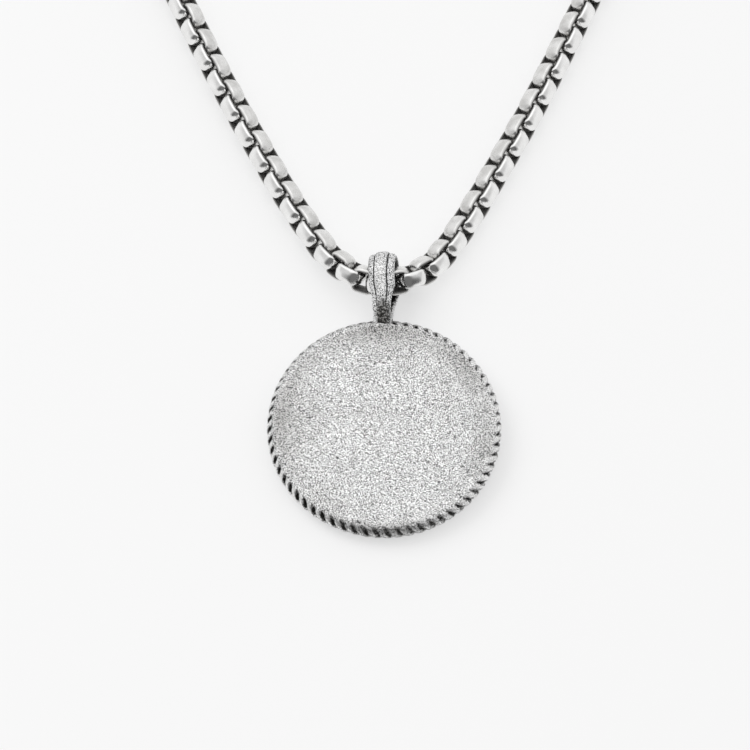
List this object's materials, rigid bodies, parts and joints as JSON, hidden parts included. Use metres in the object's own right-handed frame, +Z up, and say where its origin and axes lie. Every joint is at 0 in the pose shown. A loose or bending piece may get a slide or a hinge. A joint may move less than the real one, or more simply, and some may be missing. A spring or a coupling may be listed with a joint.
{
  "type": "round medallion pendant on a box chain necklace",
  "caption": "Plain round medallion pendant with a rope edge and a ridged bail, strung on a polished round box chain with a barrel clasp, lying flat.",
  "frame": {"origin": "on the surface the necklace lies on, under the middle of its bounding box", "axes": "+X across the loop, +Y from the medallion towards the clasp, +Z up from the surface, with the medallion's front face up"},
  "size_m": [0.141, 0.2544, 0.0056],
  "materials": {
    "antique_silver": "sandblasted silver with darkened recesses",
    "polished_silver": "bright polish"
  },
  "bodies": {
    "root": {"pendant": "antique_silver", "chain": "polished_silver", "clasp": "polished_silver"}
  },
  "joints": []
}
